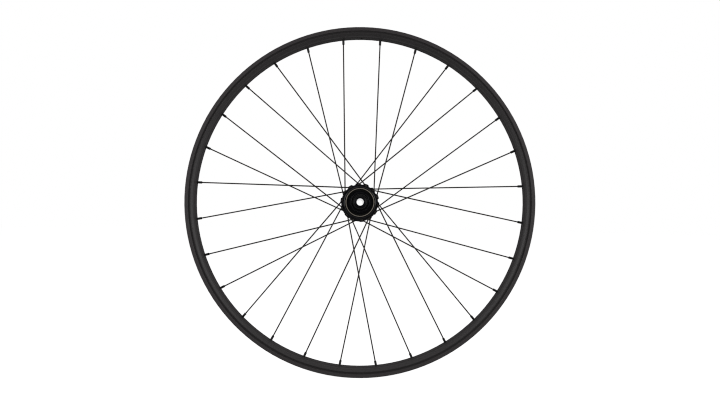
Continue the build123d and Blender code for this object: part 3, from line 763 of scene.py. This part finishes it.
def cassette_surface(sizes, segments=1080):
    """Cassette body: an outline through the valleys and one over the ridges, blended by a pattern of angle.

    Outside, the pattern is 1 on a spline's ridge; in the socket it is 1 in a groove for a lug.
    """
    low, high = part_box("cassette_body")
    seats = [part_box(place + "_cassette_bearing_outer_ring") for place in ("outer", "inner")]
    seat = seats[0][1].x
    rest_height = 1.5 * MM
    rest = seat - rest_height
    end = low.y
    start = end + sizes.spline_chamfer
    lip_y = end + sizes.spline_length
    lip_end = lip_y + sizes.lip_thickness
    root = sizes.spline_root_d / 2
    top = sizes.spline_top_d / 2
    bore = sizes.thread_bore_d / 2
    socket = sizes.socket_d / 2
    groove = sizes.socket_groove_d / 2
    barrel = groove + sizes.socket_wall
    floor_gap = 0.5 * MM
    floor = seats[1][1].y + floor_gap
    lead_step = 0.05 * MM
    lead_in = 0.5 * MM
    flank = 0.5 * MM
    mouth_corner, lip_corner = 1, 6

    def outline(start_r, edge_r, run_r, socket_r):
        """Closed outline, with the radii that differ between a valley and a ridge."""
        corners = [
            (bore, end + sizes.mouth_depth),
            (bore + sizes.mouth_width, end),
            (start_r, start),
            (edge_r, start + lead_step),
            (run_r, start + lead_in),
            (run_r, lip_y),
            (high.x, lip_y),
            (high.x, lip_end),
            (barrel, lip_end),
            (barrel, high.y),
            (socket_r, high.y),
            (socket_r, floor),
            (seat, floor),
            (seat, seats[1][0].y),
            (rest, seats[1][0].y),
            (rest, seats[0][1].y),
            (seat, seats[0][1].y),
            (seat, seats[0][0].y),
            (bore, seats[0][0].y),
        ]
        radii = np.full(len(corners), sizes.edge_r)
        radii[[mouth_corner, lip_corner]] = sizes.soft_edge_r
        return rounded(corners, radii)

    valley = outline(start_r=root - 0.15 * MM, edge_r=root - 0.1 * MM, run_r=root, socket_r=socket)
    ridge = outline(start_r=root - 0.05 * MM, edge_r=top - 0.4 * MM, run_r=top, socket_r=groove)
    turn = full_turn(segments)
    spline_turns = sizes.spline_phase + full_turn(sizes.spline_count)
    widths = np.where(np.arange(sizes.spline_count) == 0, sizes.key_angle, sizes.spline_angle)
    splines = ridge_pattern(turn, spline_turns, root * np.sin(widths / 2), (root + top) / 2, flank)
    lug_half = np.full(sizes.lug_count, socket * sin(sizes.lug_angle / 2))
    lugs = ridge_pattern(turn, full_turn(sizes.lug_count), lug_half, (socket + groove) / 2, flank)
    outside = np.arange(len(valley)) < len(valley) // 2
    pattern = np.where(outside[:, None], splines[None, :], lugs[None, :])[:, :, None]
    blended = valley[:, None, :] * (1 - pattern) + ridge[:, None, :] * pattern
    points = clock_points(blended[:, :, 0], blended[:, :, 1], turn).reshape(-1, 3)
    return points, outward(points, ring_faces(len(valley), segments, True))


def coil_surface(radius, wire_r, y0, y1, turns, segments=96, columns=14):
    """Coil spring: a circle of the wire's radius carried along a helix about the axle that rises evenly.

    At an angle b round the wire a point lies radius + wire cos b from the axle, wire sin b over the helix.
    """
    rows = int(turns * segments) + 1
    turn = np.linspace(0, turns * 2 * pi, rows)[:, None]
    across = full_turn(columns)[None, :]
    away = radius + wire_r * np.cos(across)
    along = y0 + (y1 - y0) * turn / turn[-1] + wire_r * np.sin(across)
    points = clock_points(away, along, turn + pi / 2).reshape(-1, 3)
    return points, *tube_faces(points, rows, columns)


def thread_surface(sizes, y0, segments=72, fade_turns=0.5, half_share=0.46, sunk=0.05 * MM):
    """Inward thread ridge: a triangle carried along a helix, its height eased to nothing at both ends."""
    turns = sizes.thread_length / sizes.thread_pitch
    rows = int(turns * segments)
    part = np.linspace(0, 1, rows)
    along = y0 + part * sizes.thread_length
    fade = fade_turns / turns
    height = sizes.thread_depth * ease(0, fade, part) * ease(0, fade, 1 - part)
    half = half_share * sizes.thread_pitch
    bore = sizes.thread_bore_d / 2
    foot = np.full(rows, bore + sunk)
    section_r = np.stack([foot, bore - height, foot], axis=1)
    section_y = np.stack([along - half, along, along + half], axis=1)
    points = clock_points(section_r, section_y, (part * turns * 2 * pi)[:, None]).reshape(-1, 3)
    last = len(points) - 1
    return points, ring_faces(rows, 3, False), [[0, 1, 2], [last, last - 1, last - 2]]


# Operators


class WHEEL_OT_finish_rim(bpy.types.Operator):
    """Give the rim its satin black anodising"""

    bl_idname = "wheel.finish_rim"
    bl_label = "Finish the rim"

    def execute(self, context):
        dress(rim_anodising(context.scene.wheel_finishes, context.scene.wheel_rim), "rim")
        return {"FINISHED"}


class WHEEL_OT_draw_spokes(bpy.types.Operator):
    """Make every spoke as drawn wire with its head, elbow and weave"""

    bl_idname = "wheel.draw_spokes"
    bl_label = "Draw the spokes"

    def execute(self, context):
        sizes = context.scene.wheel_spokes
        material = wire_black(context.scene.wheel_finishes)
        columns = 16
        kinds = {kind: spoke_surface(sizes, *kind, columns) for kind in map(spoke_kind, range(4))}
        for index, node in enumerate(SPOKES):
            points, along = kinds[spoke_kind(index)]
            points = at_clock(points, spoke_clock(index))
            faces, caps = tube_faces(points, len(along), columns)
            made = make_piece("wire_" + node, points, faces, material, "wheel", [node], caps)
            map_along_wire(made.data, along, columns)
        return {"FINISHED"}


class WHEEL_OT_turn_nipples(bpy.types.Operator):
    """Make the nipples with square feet and rounded edges, one on each spoke's line"""

    bl_idname = "wheel.turn_nipples"
    bl_label = "Turn the nipples"

    def execute(self, context):
        spokes = context.scene.wheel_spokes
        shape, faces = nipple_surface(context.scene.wheel_nipples)
        points = []
        for index in range(len(SPOKES)):
            _, _, weave, seat = spoke_corners(spokes, *spoke_kind(index))
            z = unit(seat - weave)
            x = unit(np.array([0, 1, 0]) - z * z[1])
            y = np.cross(z, x)
            points.append(at_clock(seat + shape @ np.stack([x, y, z]), spoke_clock(index)))
        faces = outward(points[0] - points[0].mean(axis=0), faces)
        all_faces = np.concatenate([faces + index * len(shape) for index in range(len(SPOKES))])
        material = nipple_black(context.scene.wheel_finishes)
        points = np.concatenate(points)
        make_piece("turned_nipples", points, all_faces, material, "wheel", ["spoke_nipples"])
        return {"FINISHED"}


class WHEEL_OT_finish_hub(bpy.types.Operator):
    """Give the hub shell, its ring and its lip seal their finishes"""

    bl_idname = "wheel.finish_hub"
    bl_label = "Finish the hub"

    def execute(self, context):
        finishes = context.scene.wheel_finishes
        value = finishes.hub_colour
        shell = turned_black("hub_anodised", value, gloss=0.30, lines_depth=0.004 * MM, shine=0.042)
        dress(shell, "hub_shell")
        ring = turned_metal(
            "ring_metal",
            finishes.ring_colour,
            gloss=0.32,
            marks_scale=2600,
            marks_depth=0.0015 * MM,
            bright_r=context.scene.wheel_turned.ring_bright_d / 2,
        )
        dress(ring, "drum_ring")
        dress(seal_rubber(finishes), "drum_seal")
        return {"FINISHED"}


class WHEEL_OT_turn_beads(bpy.types.Operator):
    """Turn the glossy bead on the raised land of each flange"""

    bl_idname = "wheel.turn_beads"
    bl_label = "Turn the flange beads"

    def execute(self, context):
        sizes = context.scene.wheel_turned
        spokes = context.scene.wheel_spokes
        value = context.scene.wheel_finishes.hub_colour
        material = turned_black("bead_anodised", value, gloss=0.26, lines_depth=0.002 * MM, shine=0.08)
        half = sizes.bead_width / 2
        crest = half / 6
        for name, side, flange_y in (
            ("drive_flange_bead", DRIVE, spokes.drive_flange_y),
            ("disc_flange_bead", DISC, spokes.disc_flange_y),
        ):
            land = flange_y + side * sizes.land_y
            top = land + side * sizes.bead_height
            foot = land - side * sizes.bead_foot
            outline = [
                (sizes.bead_r - half, foot),
                (sizes.bead_r - half, land),
                (sizes.bead_r - crest, top),
                (sizes.bead_r + crest, top),
                (sizes.bead_r + half, land),
                (sizes.bead_r + half, foot),
            ]
            points, faces = lathe(rounded(outline, sizes.edge_r), segments=192)
            make_piece(name, points, faces, material, "wheel")
        return {"FINISHED"}


class WHEEL_OT_turn_caps(bpy.types.Operator):
    """Turn the two end caps with rounded edges"""

    bl_idname = "wheel.turn_caps"
    bl_label = "Turn the end caps"

    def execute(self, context):
        sizes = context.scene.wheel_turned
        value = context.scene.wheel_finishes.cap_colour
        bore = sizes.bore_d / 2
        looks = {"gloss": 0.26, "lines_depth": 0.002 * MM, "shine": 0.025}
        material = turned_black("cap_anodised", value, bore_r=bore, **looks)
        face_corner, barrel_corner = 1, 3
        for node, side in (("drive_end_cap", DRIVE), ("disc_end_cap", DISC)):
            low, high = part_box(node)
            end_y = low.y if side == DRIVE else high.y
            foot_y = high.y if side == DRIVE else low.y
            face = sizes.cap_face_d / 2
            barrel = sizes.cap_barrel_d / 2
            outline = [
                (bore, end_y),
                (face, end_y),
                (face, end_y - side * sizes.cap_nose),
                (barrel, end_y - side * (sizes.cap_nose + sizes.cap_cone)),
                (barrel, foot_y + side * sizes.cap_foot),
                (sizes.cap_foot_d / 2, foot_y + side * sizes.cap_foot),
                (sizes.cap_foot_d / 2, foot_y),
                (sizes.axle_d / 2, foot_y),
                (sizes.axle_d / 2, foot_y + side * sizes.cap_cover),
                (bore, foot_y + side * sizes.cap_cover),
            ]
            radii = np.full(len(outline), sizes.edge_r)
            radii[[face_corner, barrel_corner]] = sizes.soft_edge_r
            points, faces = lathe(rounded(outline, radii), segments=128)
            make_piece("turned_" + node, points, faces, material, "axle", [node])
        return {"FINISHED"}


class WHEEL_OT_mill_cassette_body(bpy.types.Operator):
    """Make the cassette body with rounded splines, and cut the lockring's thread in its bore"""

    bl_idname = "wheel.mill_cassette_body"
    bl_label = "Mill the cassette body"

    def execute(self, context):
        sizes = context.scene.wheel_turned
        finishes = context.scene.wheel_finishes
        material = turned_black(
            "cassette_anodised",
            finishes.cassette_colour,
            gloss=0.30,
            lines_depth=0.005 * MM,
            # The lighter band in the body's bore is painted light for its shadowed depth.
            bore_r=sizes.thread_bore_d / 2,
            bore_tone=finishes.bore_tone,
            shine=0.022,
        )
        points, faces = cassette_surface(sizes)
        nodes = ["cassette_body"]
        make_piece("milled_cassette_body", points, faces, material, "cassette", nodes)
        end_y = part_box("cassette_body")[0].y
        points, faces, caps = thread_surface(sizes, end_y + sizes.thread_pitch)
        make_piece("lockring_thread", points, faces, material, "cassette", caps=caps)
        return {"FINISHED"}


class WHEEL_OT_wind_spring(bpy.types.Operator):
    """Wind the ratchet's spring; the real spring shortens as the ratchet slides back"""

    bl_idname = "wheel.wind_spring"
    bl_label = "Wind the spring"

    def execute(self, context):
        sizes = context.scene.wheel_turned
        value = context.scene.wheel_finishes.spring_colour
        material = turned_metal("spring_steel", value, gloss=0.25, marks_scale=5000, marks_depth=0.003 * MM)
        low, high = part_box("ratchet_spring")
        wire = sizes.spring_wire_d / 2
        ends = low.y + wire, high.y - wire
        points, faces, caps = coil_surface(high.x - wire, wire, *ends, sizes.spring_turns)
        made = make_piece(
            "wound_spring", points, faces, material, "cassette", ["ratchet_spring"], caps
        )
        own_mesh(made)
        return {"FINISHED"}


class WHEEL_OT_finish_bearings(bpy.types.Operator):
    """Give the bearings, ratchets and tubes their metals, and the bearing seals their rubber"""

    bl_idname = "wheel.finish_bearings"
    bl_label = "Finish the bearings and the ratchet"

    def execute(self, context):
        finishes = context.scene.wheel_finishes
        rings = [place + part for place in BEARINGS for part in ("_inner_ring", "_outer_ring", "_balls")]
        for name, value, gloss, marks_scale, marks_depth, nodes in (
            # The bearings' dark colour is painted shade for their deep recess.
            ("bearing_steel", finishes.bearing_painted_shade_colour, 0.12, 4000, 0.002 * MM, rings),
            ("ratchet_steel", finishes.steel_colour, 0.32, 2600, 0.006 * MM, RATCHETS),
            ("axle_alloy", finishes.alloy_colour, 0.06, 3000, 0.001 * MM, TUBES),
        ):
            dress(turned_metal(name, value, gloss, marks_scale, marks_depth), *nodes)
        dress(bpy.data.materials["seal_rubber"], *[place + "_seals" for place in BEARINGS])
        return {"FINISHED"}


class WHEEL_OT_set_studio(bpy.types.Operator):
    """Set the floor, the white surround, the soft lamps and the camera"""

    bl_idname = "wheel.set_studio"
    bl_label = "Set the studio"

    def execute(self, context):
        scene = context.scene
        studio = scene.wheel_studio
        scene.view_settings.view_transform = "Standard"
        scene.cycles.filter_width = 1.15
        lay_floor(scene, studio)
        light_surround(scene, studio)
        upright = (1.1, 1.5)
        soft_box(scene, "left_lamp", place=(-1.4, -0.6, 0.25), size=upright, power=studio.left_power)
        soft_box(scene, "right_lamp", place=(1.4, -0.6, 0.25), size=upright, power=studio.right_power)
        soft_box(scene, "top_lamp", place=(0.0, -0.2, 1.6), size=(2.2, 1.6), power=studio.top_power)
        set_camera(scene, studio)
        return {"FINISHED"}


# Studio


def seen_rays(shade):
    """1 for camera, mirrored and transmitted rays, and 0 for light that falls on the wheel."""
    camera = shade.node("LightPath", out="Is Camera Ray")
    mirrored = camera.math("MAXIMUM", camera, camera.other("Is Glossy Ray"))
    return camera.math("MAXIMUM", mirrored, camera.other("Is Transmission Ray"))


def lay_floor(scene, studio, rows=24, columns=96, reach=9.0, first_row=0.02):
    """Round pale floor under the rim, level with its lowest point: the rings' radii grow as squares."""
    radius = np.linspace(first_row, 1, rows)[:, None] ** 2 * reach
    turn = full_turn(columns)[None, :]
    level = np.full((rows, columns), CAD_BOX[0].z)
    points = np.stack([radius * np.sin(turn), radius * np.cos(turn), level], axis=-1).reshape(-1, 3)
    mesh = bpy.data.meshes.new("floor")
    mesh.from_pydata(points.tolist(), [], ring_faces(rows, columns, False).tolist() + [list(range(columns))])
    material, place = new_material("pale_floor")
    tone = clouded(noise(place, scale=6), studio.floor_colour, low=0.98, high=1.02)
    matt = {"Base Color": tone, "Roughness": 0.9, "Specular IOR Level": 0.0}
    paper = place.node("BsdfPrincipled", None, matt)
    white = place.node("Emission", None, {"Color": WHITE, "Strength": studio.floor_glow})
    mixed = place.node("MixShader", None, {0: seen_rays(place) * studio.whiteness, 1: paper, 2: white})
    place.node("OutputMaterial", None, {"Surface": mixed})
    mesh.materials.append(material)
    floor = bpy.data.objects.new("floor", mesh)
    scene.collection.objects.link(floor)


def light_surround(scene, studio):
    """Even light from all round, seen as plain white."""
    world = bpy.data.worlds.new("white_studio")
    scene.world = world
    world.use_nodes = True
    world.node_tree.nodes.clear()
    shade = Shade(world.node_tree)
    fill = shade.node("Background", None, {"Color": WHITE, "Strength": studio.fill})
    white = shade.node("Background", None, {"Color": WHITE, "Strength": 1.0})
    mixed = shade.node("MixShader", None, {0: seen_rays(shade), 1: fill, 2: white})
    shade.node("OutputWorld", None, {"Surface": mixed})


def soft_box(scene, name, place, size, power):
    """Rectangular soft lamp turned to the wheel's centre."""
    lamp = bpy.data.lights.new(name, "AREA")
    lamp.shape = "RECTANGLE"
    lamp.size, lamp.size_y = size
    lamp.energy = power
    holder = bpy.data.objects.new(name, lamp)
    holder.location = place
    holder.rotation_mode = "QUATERNION"
    holder.rotation_quaternion = (-Vector(place)).to_track_quat("-Z", "Y")
    holder.visible_camera = False
    scene.collection.objects.link(holder)


def set_camera(scene, studio):
    """Camera square to the wheel and a little off its axis, the picture shifted back onto the wheel."""
    lens = bpy.data.cameras.new("camera")
    lens.lens = studio.lens
    lens.sensor_width = 36
    lens.shift_x, lens.shift_y = studio.picture_shift
    holder = bpy.data.objects.new("camera", lens)
    holder.location = studio.camera_place
    holder.rotation_mode = "QUATERNION"
    ahead = Vector((0, 1, 0)).to_track_quat("-Z", "Y")
    holder.rotation_quaternion = ahead @ Quaternion((0, 0, 1), studio.roll)
    scene.collection.objects.link(holder)
    scene.camera = holder


# Panel and registration


class WHEEL_PT_dressing(bpy.types.Panel):
    """Steps that dress the wheel, in order, with their settings"""

    bl_idname = "WHEEL_PT_dressing"
    bl_label = "Rear wheel"
    bl_space_type = "VIEW_3D"
    bl_region_type = "UI"
    bl_category = "Wheel"

    def draw(self, context):
        for step in OPERATORS:
            self.layout.operator(step.bl_idname)
        for name, group in GROUPS.items():
            box = self.layout.box()
            box.label(text=group.__doc__)
            for field in group.__annotations__:
                box.prop(getattr(context.scene, name), field)


OPERATORS = (
    WHEEL_OT_finish_rim,
    WHEEL_OT_draw_spokes,
    WHEEL_OT_turn_nipples,
    WHEEL_OT_finish_hub,
    WHEEL_OT_turn_beads,
    WHEEL_OT_turn_caps,
    WHEEL_OT_mill_cassette_body,
    WHEEL_OT_wind_spring,
    WHEEL_OT_finish_bearings,
    WHEEL_OT_set_studio,
)
GROUPS = {
    "wheel_spokes": SpokeSizes,
    "wheel_nipples": NippleSizes,
    "wheel_turned": TurnedSizes,
    "wheel_rim": RimSizes,
    "wheel_finishes": Finishes,
    "wheel_studio": StudioSettings,
}


def register():
    for kind in (*GROUPS.values(), *OPERATORS, WHEEL_PT_dressing):
        bpy.utils.register_class(kind)
    for name, group in GROUPS.items():
        setattr(bpy.types.Scene, name, PointerProperty(type=group))


def unregister():
    for name in GROUPS:
        delattr(bpy.types.Scene, name)
    for kind in (WHEEL_PT_dressing, *OPERATORS, *GROUPS.values()):
        bpy.utils.unregister_class(kind)


def main():
    """Registers the add-on and runs its steps in order."""
    register()
    for step in OPERATORS:
        getattr(bpy.ops.wheel, step.bl_idname.removeprefix("wheel."))()


if __name__ == "__main__":
    main()
